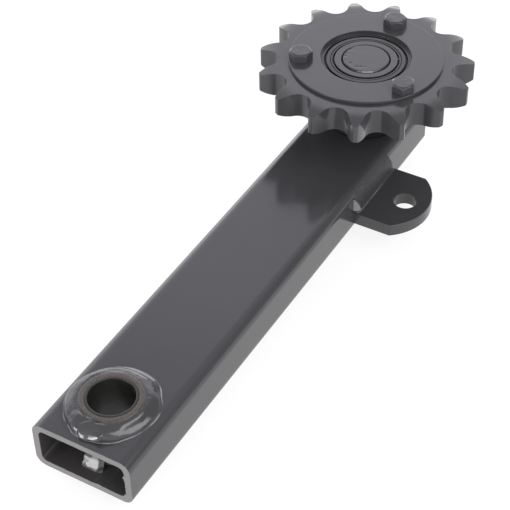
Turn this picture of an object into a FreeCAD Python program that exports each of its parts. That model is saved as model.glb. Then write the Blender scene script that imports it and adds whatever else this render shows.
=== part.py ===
import FreeCAD, Part
import math
import os

# A roller chain tensioner arm, in millimetres.
# A rectangular steel tube swings about a welded pivot boss and carries an idler sprocket on a
# sealed ball bearing at its far end. A drilled lug on the tube's side takes the tension spring.
# The origin is on the pivot axis at the tube's mid height. X runs along the arm towards the
# sprocket, Y across it, and Z up along the pivot axis. The lug is on the -Y side.

# Arm tube
tube_width = 60.0
tube_height = 30.0
tube_wall = 4.0
tube_corner_r = 6.0
tube_inner_corner_r = 3.5
axle_distance = 282.0
pivot_end_length = 30.0
sprocket_end_length = 30.0

# Pivot boss and its plain bush
pivot_bore_d = 25.0
bush_wall = 1.5
boss_wall = 3.5
boss_standing = 7.0
boss_edge_chamfer = 0.6
bush_edge_chamfer = 0.5
boss_weld_up = 6.2
boss_weld_out = 7.8
mouth_weld_up = 6.5
mouth_weld_out = 7.0
mouth_weld_angle = 40.0
weld_crown_share = 0.96

# Spring lug
lug_width = 50.0
lug_thickness = 8.0
lug_top_z = 0.5
lug_centre_x = 234.5
lug_reach = 37.5
lug_end_r = 31.0
lug_hole_d = 14.0
lug_hole_from_tip = 14.9
lug_weld_up = 10.5
lug_weld_out = 3.8
lug_under_weld = 5.0
lug_under_weld_inset = 4.0

# Chain: one inch pitch roller chain
chain_pitch = 25.4
roller_share_of_pitch = 0.625
tooth_count = 15
first_tooth_angle = 33.6
seat_clearance = 0.08
seat_half_angle = 63.0
flank_r = 40.0
tooth_head = 5.4
tip_drop = 2.4
tip_relief_r = 25.4
sprocket_lift = 26.7

# Sealed ball bearing, 30 x 62 x 16
bearing_bore_d = 30.0
bearing_outer_d = 62.0
bearing_width = 16.0
ball_d = 9.525
ball_count = 9
inner_shoulder_inset = 2.85
outer_shoulder_inset = 3.35
seal_seat_depth = 0.95
groove_r_share_of_ball = 0.52
race_clearance = 0.08
ring_chamfer = 0.9
seal_thickness = 1.3
seal_recess = 0.5
seal_rim_width = 1.4
seal_groove_width = 1.5
seal_groove_depth = 0.8
seal_lip_width = 2.1
seal_step = 0.3
seal_gap = 0.3
seal_run_width = 0.75
cage_thickness = 2.8
cage_pocket_clearance = 0.12
cage_base = 0.75
cage_prong_height = 2.4

# Axle stub
axle_shoulder = 4.0
axle_end_standing = 0.5
axle_end_neck = 0.5
axle_end_lead = 2.0
axle_end_chamfer = 0.4
axle_foot_chamfer = 1.5
axle_foot = 4.0
axle_weld = 5.0
axle_foot_weld = 3.5

# Retaining discs
disc_overlap = 3.0
disc_margin = 7.4
disc_thickness = 2.0
disc_chamfer = 0.3

# M8 bolts and nuts
bolt_count = 3
bolt_land = 9.0
bolt_d = 8.0
bolt_beyond_nut = 3.5
bolt_hole_clearance = 0.2
hex_across_flats = 13.0
bolt_head_height = 5.3
nut_height = 6.5
hex_face_inset = 0.8
hex_chamfer_angle = 30.0
bolt_tip_chamfer = 1.0

# How far a cutting shape passes the faces that it cuts
overrun = 1.0

# Levels and radii that follow from the sizes above
tube_top = tube_height / 2
bush_outer_r = pivot_bore_d / 2 + bush_wall
boss_r = bush_outer_r + boss_wall
boss_half = tube_top + boss_standing
sprocket_bottom = tube_top + sprocket_lift
sprocket_top = sprocket_bottom + bearing_width
sprocket_mid = (sprocket_bottom + sprocket_top) / 2
pitch_r = chain_pitch / (2 * math.sin(math.pi / tooth_count))
seat_r = chain_pitch * roller_share_of_pitch / 2 + seat_clearance
tip_r = pitch_r + tooth_head
tooth_step = 360.0 / tooth_count
half_bearing = bearing_width / 2
bearing_seat_r = bearing_outer_d / 2
journal_r = bearing_bore_d / 2
axle_body_r = journal_r + axle_shoulder
ball_pitch_r = (journal_r + bearing_seat_r) / 2
inner_shoulder_r = ball_pitch_r - inner_shoulder_inset
outer_shoulder_r = ball_pitch_r + outer_shoulder_inset
seal_seat_r = outer_shoulder_r + seal_seat_depth
race_groove_r = ball_d * groove_r_share_of_ball
disc_hole_r = bearing_seat_r - disc_overlap
bolt_circle_r = bearing_seat_r + bolt_land
disc_outer_r = bolt_circle_r + disc_margin
bolt_length = 2 * disc_thickness + bearing_width + nut_height + bolt_beyond_nut
axle_at = FreeCAD.Vector(axle_distance, 0, 0)
z_axis = FreeCAD.Vector(0, 0, 1)


def vec(x, y, z=0.0):
    return FreeCAD.Vector(x, y, z)


def spun(points, angle=360.0, start=0.0):
    """Spin a closed outline of radius and height pairs about the Z axis."""
    corners = [vec(r, 0, z) for r, z in points]
    face = Part.Face(Part.makePolygon(corners + corners[:1]))
    face.rotate(vec(0, 0), z_axis, start)
    return face.revolve(vec(0, 0), z_axis, angle)


def ring(inner_r, outer_r, bottom, top):
    return spun([(inner_r, bottom), (outer_r, bottom), (outer_r, top), (inner_r, top)])


def rod(radius, bottom, top):
    return Part.makeCylinder(radius, top - bottom, vec(0, 0, bottom))


def around(shape, count, start=0.0):
    """Copies of a shape, evenly spaced about the Z axis."""
    copies = []
    for i in range(count):
        copy = shape.copy()
        copy.rotate(vec(0, 0), z_axis, start + i * 360.0 / count)
        copies.append(copy)
    return copies


def at_axle(shape):
    shape.translate(axle_at)
    return shape


def rounded_bar(width, height, corner_r, start_x, end_x):
    """A bar along X with a rounded rectangular section."""
    bar = Part.makeBox(end_x - start_x, width, height, vec(start_x, -width / 2, -height / 2))
    long_edges = [e for e in bar.Edges if abs(e.Vertexes[0].Y - e.Vertexes[1].Y) < 1e-6
                  and abs(e.Vertexes[0].Z - e.Vertexes[1].Z) < 1e-6]
    return bar.makeFillet(corner_r, long_edges)


def tube_body():
    """The tube's full outer form, as if it were solid."""
    return rounded_bar(tube_width, tube_height, tube_corner_r,
                       -pivot_end_length, axle_distance + sprocket_end_length)


def arm_tube():
    inside = rounded_bar(tube_width - 2 * tube_wall, tube_height - 2 * tube_wall, tube_inner_corner_r,
                         -pivot_end_length, axle_distance + sprocket_end_length)
    boss_hole = rod(boss_r, -tube_height, tube_height)
    axle_hole = at_axle(rod(axle_body_r, -tube_height, tube_height))
    return tube_body().cut([inside, boss_hole, axle_hole])


def pivot_boss():
    c = boss_edge_chamfer
    return spun([(bush_outer_r + c, boss_half), (boss_r - c, boss_half), (boss_r, boss_half - c),
                 (boss_r, c - boss_half), (boss_r - c, -boss_half), (bush_outer_r + c, -boss_half),
                 (bush_outer_r, c - boss_half), (bush_outer_r, boss_half - c)])


def pivot_bush():
    c = bush_edge_chamfer
    bore_r = pivot_bore_d / 2
    return spun([(bore_r + c, boss_half), (bush_outer_r, boss_half), (bush_outer_r, -boss_half),
                 (bore_r + c, -boss_half), (bore_r, c - boss_half), (bore_r, boss_half - c)])


def bead_outline(start, up, out, turn):
    """A weld fillet's section with a slightly crowned face, as radius and height pairs."""
    face = [(start + out * math.cos(a), turn * up * math.sin(a)) for a in (0, math.pi / 6, math.pi / 3)]
    crown = [(start + (r - start) * weld_crown_share, z * weld_crown_share) for r, z in face[1:]]
    return face[:1] + crown + [(start, turn * up)]


def weld_ring(radius, up, out, level, turn):
    """A fillet round an upright part, laid on the tube. turn is 1 above and -1 below."""
    sink = level - turn * tube_corner_r
    outline = [(r, level + z) for r, z in bead_outline(radius, up, out, turn)]
    return spun([(radius, sink), (radius + out, sink)] + outline).cut(tube_body())


def boss_weld(turn):
    return weld_ring(boss_r, boss_weld_up, boss_weld_out, turn * tube_top, turn)


def mouth_weld():
    """A short bead inside the open end, between the boss and the tube's floor."""
    floor = tube_wall - tube_top
    outline = [(r, floor + z) for r, z in bead_outline(boss_r, mouth_weld_up, mouth_weld_out, 1)]
    return spun([(boss_r, floor)] + outline, mouth_weld_angle, 180 - mouth_weld_angle / 2)


def spring_lug():
    side = -tube_width / 2
    end_centre_y = side - lug_reach + lug_end_r
    corner_drop = math.sqrt(lug_end_r ** 2 - (lug_width / 2) ** 2)
    left = lug_centre_x - lug_width / 2
    right = lug_centre_x + lug_width / 2
    corner_y = end_centre_y - corner_drop
    root_y = side + tube_corner_r
    bottom = lug_top_z - lug_thickness
    tip = vec(lug_centre_x, side - lug_reach, bottom)
    edges = [Part.makeLine(vec(left, root_y, bottom), vec(left, corner_y, bottom)),
             Part.Arc(vec(left, corner_y, bottom), tip, vec(right, corner_y, bottom)).toShape(),
             Part.makeLine(vec(right, corner_y, bottom), vec(right, root_y, bottom)),
             Part.makeLine(vec(right, root_y, bottom), vec(left, root_y, bottom))]
    plate = Part.Face(Part.Wire(edges)).extrude(vec(0, 0, lug_thickness))
    hole = rod(lug_hole_d / 2, bottom - overrun, lug_top_z + overrun)
    hole.translate(vec(lug_centre_x, side - lug_reach + lug_hole_from_tip))
    return plate.cut([hole, tube_body()])


def lug_weld(up, out, level, turn, inset):
    """A straight bead along the lug's root, above it or below it, short of the lug's ends by the inset."""
    side = tube_width / 2
    root = side - tube_corner_r
    start_x = lug_centre_x - lug_width / 2 + inset
    outline = [(root, 0)] + bead_outline(side, up, out, turn) + [(root, turn * up)]
    corners = [vec(start_x, -y, level + z) for y, z in outline]
    face = Part.Face(Part.makePolygon(corners + corners[:1]))
    return face.extrude(vec(lug_width - 2 * inset, 0, 0)).cut(tube_body())


def sprocket_axle():
    """A shouldered stub through both walls of the tube, turned down for the bearing."""
    end = sprocket_top + axle_end_standing
    foot = -tube_top - axle_foot
    neck_r = journal_r - axle_end_neck
    outline = [(0, foot), (axle_body_r - axle_foot_chamfer, foot), (axle_body_r, foot + axle_foot_chamfer),
               (axle_body_r, sprocket_bottom), (journal_r, sprocket_bottom), (journal_r, end - axle_end_lead),
               (neck_r, end - axle_end_chamfer), (neck_r - axle_end_chamfer, end), (0, end)]
    return at_axle(spun(outline))


def axle_weld_bead(turn, size):
    bead = weld_ring(axle_body_r, size, size, turn * tube_top, turn)
    return at_axle(bead)


def tooth_gap(bottom, top):
    """The space between two teeth, on +X: a roller seat and two convex flanks.

    Each flank runs out to the tooth's middle line, and the space goes on past the tips.
    """
    half = math.radians(seat_half_angle)
    half_step = math.radians(tooth_step / 2)
    seat_end = vec(pitch_r - seat_r * math.cos(half), seat_r * math.sin(half))
    flank_centre = vec(pitch_r - (seat_r + flank_r) * math.cos(half), (seat_r + flank_r) * math.sin(half))
    middle_line = vec(math.cos(half_step), math.sin(half_step))
    along = flank_centre.dot(middle_line)
    aside = flank_centre.distanceToPoint(middle_line * along)
    peak = middle_line * (along + math.sqrt(flank_r ** 2 - aside ** 2))
    outside = middle_line * (2 * tip_r)
    halfway = (seat_end + peak) * 0.5 - flank_centre
    on_flank = flank_centre + halfway * (flank_r / halfway.Length)

    def mirrored(p):
        return vec(p.x, -p.y)

    edges = [Part.Arc(seat_end, vec(pitch_r - seat_r, 0), mirrored(seat_end)).toShape(),
             Part.Arc(mirrored(seat_end), mirrored(on_flank), mirrored(peak)).toShape(),
             Part.makeLine(mirrored(peak), mirrored(outside)),
             Part.makeLine(mirrored(outside), outside),
             Part.makeLine(outside, peak),
             Part.Arc(peak, on_flank, seat_end).toShape()]
    face = Part.Face(Part.Wire(edges))
    face.translate(vec(0, 0, bottom - overrun))
    return face.extrude(vec(0, 0, top - bottom + 2 * overrun))


def bolt_holes(bottom, top):
    hole = rod(bolt_d / 2 + bolt_hole_clearance, bottom - overrun, top + overrun)
    hole.translate(vec(bolt_circle_r, 0))
    return around(hole, bolt_count)


def sprocket():
    """A toothed plate whose faces curve down to the tips, bored for the bearing."""
    relief_start = tip_r - math.sqrt(tip_relief_r ** 2 - (tip_relief_r - tip_drop) ** 2)
    relief_turn = math.acos((tip_relief_r - tip_drop) / tip_relief_r)
    mid_r = relief_start + tip_relief_r * math.sin(relief_turn / 2)
    mid_drop = tip_relief_r * (1 - math.cos(relief_turn / 2))

    def edge_arc(level, turn):
        return Part.Arc(vec(relief_start, 0, level), vec(mid_r, 0, level - turn * mid_drop),
                        vec(tip_r, 0, level - turn * tip_drop)).toShape()

    low = sprocket_bottom
    high = sprocket_top
    edges = [Part.makeLine(vec(bearing_seat_r, 0, low), vec(relief_start, 0, low)),
             edge_arc(low, -1),
             Part.makeLine(vec(tip_r, 0, low + tip_drop), vec(tip_r, 0, high - tip_drop)),
             edge_arc(high, 1),
             Part.makeLine(vec(relief_start, 0, high), vec(bearing_seat_r, 0, high)),
             Part.makeLine(vec(bearing_seat_r, 0, high), vec(bearing_seat_r, 0, low))]
    blank = Part.Face(Part.Wire(Part.sortEdges(edges)[0])).revolve(vec(0, 0), z_axis, 360)
    gaps = around(tooth_gap(low, high), tooth_count, first_tooth_angle + tooth_step / 2)
    return at_axle(blank.cut(gaps + bolt_holes(low, high)))


def retaining_disc(bottom):
    c = disc_chamfer
    top = bottom + disc_thickness
    outer = disc_outer_r
    disc = spun([(disc_hole_r, bottom), (outer - c, bottom), (outer, bottom + c), (outer, top - c),
                 (outer - c, top), (disc_hole_r, top)])
    return at_axle(disc.cut(bolt_holes(bottom, top)))


def hexagon(bottom, top, chamfer_low, chamfer_high):
    """A hexagonal prism with its corners turned off at either end."""
    flat_r = hex_across_flats / 2
    corner_r = flat_r / math.cos(math.pi / 6)
    face_r = flat_r - hex_face_inset
    drop = (corner_r - face_r) * math.tan(math.radians(hex_chamfer_angle))
    turns = [math.radians(60 * i) for i in range(7)]
    corners = [vec(corner_r * math.cos(t), corner_r * math.sin(t), bottom) for t in turns]
    prism = Part.Face(Part.makePolygon(corners)).extrude(vec(0, 0, top - bottom))
    low = drop * chamfer_low
    high = drop * chamfer_high
    turned = spun([(0, bottom), (face_r, bottom), (corner_r, bottom + low), (corner_r, top - high),
                   (face_r, top), (0, top)] if chamfer_low else
                  [(0, bottom), (corner_r, bottom), (corner_r, top - high), (face_r, top), (0, top)])
    return prism.common(turned)


def disc_bolts():
    seat = sprocket_top + disc_thickness
    head = hexagon(seat, seat + bolt_head_height, 0, 1)
    c = bolt_tip_chamfer
    r = bolt_d / 2
    tip = seat - bolt_length
    shank = spun([(0, tip), (r - c, tip), (r, tip + c), (r, seat), (0, seat)])
    bolt = head.fuse(shank).removeSplitter()
    bolt.translate(vec(bolt_circle_r, 0))
    return at_axle(Part.makeCompound(around(bolt, bolt_count)))


def disc_nuts():
    seat = sprocket_bottom - disc_thickness
    low = seat - nut_height
    nut = hexagon(low, seat, 1, 1).cut(rod(bolt_d / 2, low - overrun, seat + overrun))
    nut.translate(vec(bolt_circle_r, 0))
    return at_axle(Part.makeCompound(around(nut, bolt_count)))


def at_bearing(shape):
    shape.translate(vec(axle_distance, 0, sprocket_mid))
    return shape


def bearing_outer_ring():
    c = ring_chamfer
    outer = bearing_seat_r
    shoulder = outer_shoulder_r
    seat = seal_seat_r
    h = half_bearing
    ledge = h - seal_recess - seal_thickness
    groove = ball_pitch_r + ball_d / 2 + race_clearance - race_groove_r
    body = spun([(shoulder, -ledge), (seat, -ledge), (seat, -h), (outer - c, -h), (outer, c - h),
                 (outer, h - c), (outer - c, h), (seat, h), (seat, ledge), (shoulder, ledge)])
    return at_bearing(body.cut(Part.makeTorus(groove, race_groove_r)))


def bearing_inner_ring():
    """The inner ring, with a turned-down edge on both sides where the seals' lips run."""
    c = ring_chamfer
    bore = journal_r
    shoulder = inner_shoulder_r
    h = half_bearing
    groove = ball_pitch_r - ball_d / 2 - race_clearance + race_groove_r
    run = shoulder - seal_run_width
    ledge = h - seal_recess - seal_thickness
    body = spun([(bore + c, -h), (run, -h), (run, -ledge), (shoulder, -ledge), (shoulder, ledge),
                 (run, ledge), (run, h), (bore + c, h), (bore, h - c), (bore, c - h)])
    return at_bearing(body.cut(Part.makeTorus(groove, race_groove_r)))


def bearing_balls():
    ball = Part.makeSphere(ball_d / 2, vec(ball_pitch_r, 0))
    return at_bearing(Part.makeCompound(around(ball, ball_count)))


def bearing_cage():
    """A one-piece cage: a low ring with prongs that stand between the balls."""
    pocket_r = ball_d / 2 + cage_pocket_clearance
    body = ring(ball_pitch_r - cage_thickness / 2, ball_pitch_r + cage_thickness / 2,
                -pocket_r - cage_base, cage_prong_height)
    pocket = Part.makeSphere(pocket_r, vec(ball_pitch_r, 0))
    return at_bearing(body.cut(around(pocket, ball_count)))


def bearing_seal(turn):
    """A rubber seal: a flat rim at its seat, a groove, a flat web and a lower lip at the inner ring."""
    lip_r = inner_shoulder_r + seal_gap
    rim_r = seal_seat_r
    groove_r = rim_r - seal_rim_width
    web_r = groove_r - seal_groove_width
    under = half_bearing - seal_recess - seal_thickness
    face = half_bearing - seal_recess
    outline = [(lip_r, under), (rim_r, under), (rim_r, face), (groove_r, face),
               (groove_r, face - seal_groove_depth), (web_r, face - seal_groove_depth), (web_r, face),
               (lip_r + seal_lip_width, face), (lip_r + seal_lip_width, face - seal_step),
               (lip_r, face - seal_step)]
    return at_bearing(spun([(r, turn * z) for r, z in outline]))


pieces = {
    "arm_tube": arm_tube(),
    "pivot_boss": pivot_boss(),
    "pivot_bush": pivot_bush(),
    "boss_weld_top": boss_weld(1),
    "boss_weld_bottom": boss_weld(-1),
    "boss_weld_mouth": mouth_weld(),
    "spring_lug": spring_lug(),
    "lug_weld_top": lug_weld(lug_weld_up, lug_weld_out, lug_top_z, 1, 0),
    "lug_weld_bottom": lug_weld(lug_under_weld, lug_under_weld, lug_top_z - lug_thickness, -1,
                                lug_under_weld_inset),
    "sprocket_axle": sprocket_axle(),
    "axle_weld_top": axle_weld_bead(1, axle_weld),
    "axle_weld_bottom": axle_weld_bead(-1, axle_foot_weld),
    "sprocket": sprocket(),
    "upper_disc": retaining_disc(sprocket_top),
    "lower_disc": retaining_disc(sprocket_bottom - disc_thickness),
    "disc_bolts": disc_bolts(),
    "disc_nuts": disc_nuts(),
    "bearing_outer_ring": bearing_outer_ring(),
    "bearing_inner_ring": bearing_inner_ring(),
    "bearing_balls": bearing_balls(),
    "bearing_cage": bearing_cage(),
    "upper_seal": bearing_seal(1),
    "lower_seal": bearing_seal(-1),
}

os.makedirs("parts", exist_ok=True)
for name, shape in pieces.items():
    shape.exportStep(os.path.join("parts", name + ".step"))
    print(name, len(shape.Solids), round(shape.Volume, 1), shape.isValid())
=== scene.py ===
"""The looks of a roller chain tensioner arm: welded, painted steel with an idler sprocket."""
import math

import bmesh
import bpy
from bpy.props import FloatProperty, FloatVectorProperty, IntProperty, PointerProperty
from mathutils import Matrix, Vector, noise


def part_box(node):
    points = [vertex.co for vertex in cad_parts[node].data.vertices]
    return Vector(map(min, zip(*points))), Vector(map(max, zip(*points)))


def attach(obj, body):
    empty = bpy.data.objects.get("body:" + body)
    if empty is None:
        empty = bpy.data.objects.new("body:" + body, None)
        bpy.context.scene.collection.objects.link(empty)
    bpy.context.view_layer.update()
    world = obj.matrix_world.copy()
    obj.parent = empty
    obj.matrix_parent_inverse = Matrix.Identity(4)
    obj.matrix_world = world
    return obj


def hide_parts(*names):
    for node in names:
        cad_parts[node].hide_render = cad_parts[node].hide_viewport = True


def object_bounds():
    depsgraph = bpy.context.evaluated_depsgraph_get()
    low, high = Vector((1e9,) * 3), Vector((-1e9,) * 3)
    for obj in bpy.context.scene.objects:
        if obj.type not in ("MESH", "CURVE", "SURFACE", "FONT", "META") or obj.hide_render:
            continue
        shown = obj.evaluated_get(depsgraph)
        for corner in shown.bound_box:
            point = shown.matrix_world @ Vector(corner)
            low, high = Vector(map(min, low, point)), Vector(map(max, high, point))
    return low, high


bl_info = {
    "name": "Chain tensioner arm",
    "version": (1, 0, 0),
    "blender": (4, 5, 0),
    "location": "View3D > Sidebar > Tensioner",
    "description": "Builds a welded tensioner arm with an idler sprocket on a sealed bearing",
    "category": "Object",
}

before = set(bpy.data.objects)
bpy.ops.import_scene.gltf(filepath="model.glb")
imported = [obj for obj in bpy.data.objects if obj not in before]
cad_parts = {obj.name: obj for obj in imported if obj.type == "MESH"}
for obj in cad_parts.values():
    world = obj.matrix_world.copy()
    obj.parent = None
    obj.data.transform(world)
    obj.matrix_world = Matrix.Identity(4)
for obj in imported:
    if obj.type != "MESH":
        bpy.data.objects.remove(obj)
cad_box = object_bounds()

MM = 0.001
tube_low, tube_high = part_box("arm_tube")
boss_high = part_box("pivot_boss")[1]
lug_low, lug_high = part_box("spring_lug")
axle_low, axle_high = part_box("sprocket_axle")
wheel_low, wheel_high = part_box("sprocket")
disc_low, disc_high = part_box("upper_disc")
bolts_low, bolts_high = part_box("disc_bolts")
nuts_low, nuts_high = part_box("disc_nuts")
ring_low, ring_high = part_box("bearing_outer_ring")
inner_low, inner_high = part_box("bearing_inner_ring")

axle_at = Vector(((axle_low.x + axle_high.x) / 2, 0, 0))
axle_radius = (axle_high.y - axle_low.y) / 2
upright = (0, 0, 1)
sharp_angle = math.radians(38)
hole_play = 0.2 * MM
seal_inset = 0.35 * MM
seal_ledge = 1.8 * MM
weld_root = 0.4 * MM


def number(name, description, default, **more):
    return FloatProperty(name=name, description=description, default=default, **more)


def length(name, description, default_mm):
    return number(name, description, default_mm * MM, min=0.0, unit="LENGTH", precision=4)


def tint(name, description, default):
    return FloatVectorProperty(name=name, description=description, default=default, size=3, min=0.0,
                               max=1.0, subtype="COLOR")


class ArmSizes(bpy.types.PropertyGroup):
    tube_wall: length("Tube wall", "Wall thickness of the arm tube", 4.0)
    tube_corner: length("Tube corner", "Outside corner radius of the arm tube", 6.0)
    tube_inner_corner: length("Inner corner", "Inside corner radius of the arm tube", 3.5)
    bore_radius: length("Pivot bore", "Radius of the pivot bush's bore", 12.5)
    bush_radius: length("Bush radius", "Outside radius of the pivot bush", 14.0)
    boss_radius: length("Boss radius", "Outside radius of the pivot boss", 17.5)
    boss_weld_up: length("Boss weld height", "How far the boss weld climbs the boss", 6.3)
    boss_weld_out: length("Boss weld width", "How far the boss weld reaches over the tube", 7.6)
    lug_hole: length("Lug hole", "Radius of the hole in the spring lug", 7.0)
    lug_hole_from_tip: length("Lug hole from tip", "Distance of the hole's middle from the lug's tip", 14.9)
    lug_end_radius: length("Lug end", "Radius of the spring lug's rounded end", 31.0)
    lug_weld_inset: length("Under weld inset", "How far the bead below the lug stops short of its ends", 4.0)
    lug_under_weld: length("Weld below the lug", "Leg length of the bead below the lug", 5.0)
    axle_weld: length("Axle weld", "Leg length of the bead round the axle, on the tube's top", 5.0)
    axle_foot_weld: length("Axle foot weld", "Leg length of the bead round the axle, underneath", 3.5)


class WheelSizes(bpy.types.PropertyGroup):
    teeth: IntProperty(name="Teeth", description="Number of sprocket teeth", default=15, min=9, max=40)
    pitch: length("Chain pitch", "Distance between the chain's rollers", 25.4)
    seat_radius: length("Roller seat", "Radius of the roller seats between the teeth", 8.0175)
    seat_angle: number("Seat angle", "Half the angle that a roller seat spans", math.radians(63.0),
                       min=0.1, max=1.5, subtype="ANGLE")
    flank_radius: length("Flank radius", "Radius of the convex tooth flanks", 40.0)
    tooth_head: length("Tooth head", "How far the tips stand beyond the pitch circle", 5.4)
    tip_drop: length("Tip drop", "How far the side faces curve in at the tips", 2.4)
    tip_relief: length("Tip relief", "Radius of the curve towards the tips", 25.4)
    first_tooth: number("First tooth", "Direction of one tooth from the X axis", math.radians(33.6),
                        subtype="ANGLE")
    bearing_radius: length("Bearing seat", "Radius of the bearing's seat in the sprocket", 31.0)
    journal_radius: length("Journal", "Radius of the axle in the bearing", 15.0)
    inner_shoulder: length("Inner ring", "Outside radius of the bearing's inner ring", 20.15)
    seal_seat: length("Seal seat", "Radius of the seal's seat in the outer ring", 27.3)
    disc_radius: length("Disc radius", "Outside radius of the retaining discs", 47.4)
    disc_hole: length("Disc hole", "Radius of the hole in the retaining discs", 28.0)
    bolt_circle: length("Bolt circle", "Radius of the circle that the bolts stand on", 40.0)
    bolts: IntProperty(name="Bolts", description="Number of bolts through the discs", default=3, min=2, max=8)
    bolt_radius: length("Bolt radius", "Radius of the bolts' shanks", 4.0)
    hex_flat: length("Hexagon", "Half the size across the flats of heads and nuts", 6.5)
    hex_face: length("Hexagon face", "Radius of the turned faces of heads and nuts", 5.7)


class Finish(bpy.types.PropertyGroup):
    paint: tint("Paint", "Dark grey enamel", (0.0440, 0.0434, 0.0456))
    paint_gloss: number("Paint roughness", "Roughness of the enamel", 0.17, min=0.0, max=1.0,
                        subtype="FACTOR")
    cut_steel: tint("Cut end", "Thinly painted saw cut at the tube's ends", (0.148, 0.145, 0.139))
    bare_steel: tint("Bare steel", "Rusty bare steel of the boss's faces", (0.066, 0.0545, 0.046))
    bush: tint("Bush", "Oiled dark bore of the bush", (0.016, 0.0155, 0.0135))
    inside: tint("Inside", "Thin dusty paint inside the tube", (0.056, 0.0535, 0.050))
    # Light tone of thin paint on edges, and of painted highlights: the glint on the axle's near rim and the
    # lit face of the lump in the tube's mouth.
    wear_and_glint: tint("Worn edge", "Thin light paint on the sprocket's edges", (0.20, 0.195, 0.19))
    ball_steel: tint("Balls", "Polished steel", (0.62, 0.62, 0.63))
    cage: tint("Cage", "Moulded cage", (0.55, 0.50, 0.36))


class Studio(bpy.types.PropertyGroup):
    floor: tint("Floor", "Plain pale floor", (0.16, 0.16, 0.16))
    floor_glow: number("Floor glow", "Light that the floor gives off by itself", 0.86, min=0.0)
    ambient: number("Ambient", "Even brightness of the studio", 0.67, min=0.0)
    backdrop: number("Backdrop", "Extra brightness of the backdrop behind the part", 1.2, min=0.0)
    key: number("Key light", "Brightness of the low light at the front left", 16.0, min=0.0)
    side: number("Side softbox", "Brightness of the softbox on the lug's side", 4.6, min=0.0)
    rim: number("Rim", "Extra brightness low down behind the part", 1.4, min=0.0)
    front: number("Front fill", "Extra brightness low down in front of the part", 0.6, min=0.0)
    gap: number("Gap", "Darkness of the gap between backdrop and softbox", 0.35, min=0.0, max=0.6)
    lens: number("Lens", "Focal length for a 36 mm wide sensor", 104.32, min=1.0)


def chosen(group):
    """The values in one of the panel's groups."""
    return getattr(bpy.context.scene, "tensioner_" + group)


# Mesh tools


def smoothstep(low, high, x):
    t = min(1.0, max(0.0, (x - low) / (high - low)))
    return t * t * (3 - 2 * t)


def radius_of(v):
    return math.hypot(v.co.x, v.co.y)


def everything(bm):
    return bm.verts[:] + bm.edges[:] + bm.faces[:]


def points_in(geom):
    return [g for g in geom if isinstance(g, bmesh.types.BMVert)]


def sharp_edges(bm, angle):
    return [e for e in bm.edges if e.calc_face_angle(0.0) > angle]


def close_holes(bm):
    bmesh.ops.holes_fill(bm, edges=[e for e in bm.edges if e.is_boundary], sides=0)


def face_outward(bm):
    bmesh.ops.recalc_face_normals(bm, faces=bm.faces)


def chain(bm, points):
    """Joins a few points with edges, all round."""
    verts = [bm.verts.new(p) for p in points]
    return verts, [bm.edges.new(pair) for pair in zip(verts, verts[1:] + verts[:1])]


def extrude(bm, edges):
    """Faces from some edges: the new vertices and the new edges."""
    made = bmesh.ops.extrude_edge_only(bm, edges=edges)["geom"]
    return points_in(made), [g for g in made if isinstance(g, bmesh.types.BMEdge)]


def extrude_along_x(bm, edges, step):
    verts, edges = extrude(bm, edges)
    bmesh.ops.translate(bm, verts=verts, vec=(step, 0, 0))
    return verts, edges


def thicken(bm, faces, way):
    """Extrudes faces as one along a vector, to a closed body."""
    made = bmesh.ops.extrude_face_region(bm, geom=faces)["geom"]
    bmesh.ops.translate(bm, verts=points_in(made), vec=way)
    face_outward(bm)


def sweep(bm, geom, angle, steps, middle=(0, 0, 0), **how):
    bmesh.ops.spin(bm, geom=geom, cent=middle, axis=upright, angle=angle, steps=steps,
                   **{"use_merge": False, "use_duplicate": False, **how})


def spin_outline(outline, steps, angle=math.tau, start=0.0):
    """Spins an outline of radius and height pairs about the upright axis."""
    bm = bmesh.new()
    verts, edges = chain(bm, [(r * math.cos(start), r * math.sin(start), z) for r, z in outline])
    full = angle == math.tau
    sweep(bm, verts + edges, angle, steps, use_merge=full)
    bmesh.ops.remove_doubles(bm, verts=bm.verts, dist=1e-7)
    bmesh.ops.dissolve_degenerate(bm, edges=bm.edges, dist=1e-8)
    bmesh.ops.delete(bm, geom=[e for e in bm.edges if not e.link_faces], context="EDGES")
    if not full:
        close_holes(bm)
    face_outward(bm)
    return bm


def soften(bm, edges, width, segments=3, affect="EDGES"):
    """Rounds some edges or corners and gives the new faces."""
    return bmesh.ops.bevel(bm, geom=edges, offset=width, offset_type="OFFSET", segments=segments,
                           profile=0.5, affect=affect, material=-1, clamp_overlap=True)["faces"]


def soften_rings(bm, segments, heights, *corners):
    """Rounds turned corners, given as radius and width, at each of the heights."""
    for radius, width in corners:
        for z in heights:
            ring = [e for e in bm.edges if all(abs(radius_of(v) - radius) < 1e-5 and abs(v.co.z - z) < 1e-5
                                               for v in e.verts)]
            soften(bm, ring, width, segments)


def merge_in(bm, other, matrix):
    """Adds another bmesh's faces to this one and frees it."""
    bmesh.ops.transform(other, matrix=matrix, verts=other.verts)
    mesh = bpy.data.meshes.new("part")
    other.to_mesh(mesh)
    other.free()
    bm.from_mesh(mesh)
    bpy.data.meshes.remove(mesh)


def fill_mesh(bm, mesh):
    """Writes a bmesh to a mesh, smooth where it curves, and frees it."""
    for face in bm.faces:
        face.smooth = True
    bm.to_mesh(mesh)
    bm.free()
    mesh.set_sharp_from_angle(angle=sharp_angle)


def finish_mesh(bm, name, offset=(0, 0, 0)):
    """Turns a bmesh into an object at the origin."""
    bmesh.ops.translate(bm, verts=bm.verts, vec=offset)
    piece = bpy.data.objects.new(name, bpy.data.meshes.new(name))
    fill_mesh(bm, piece.data)
    bpy.context.scene.collection.objects.link(piece)
    return piece


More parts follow.
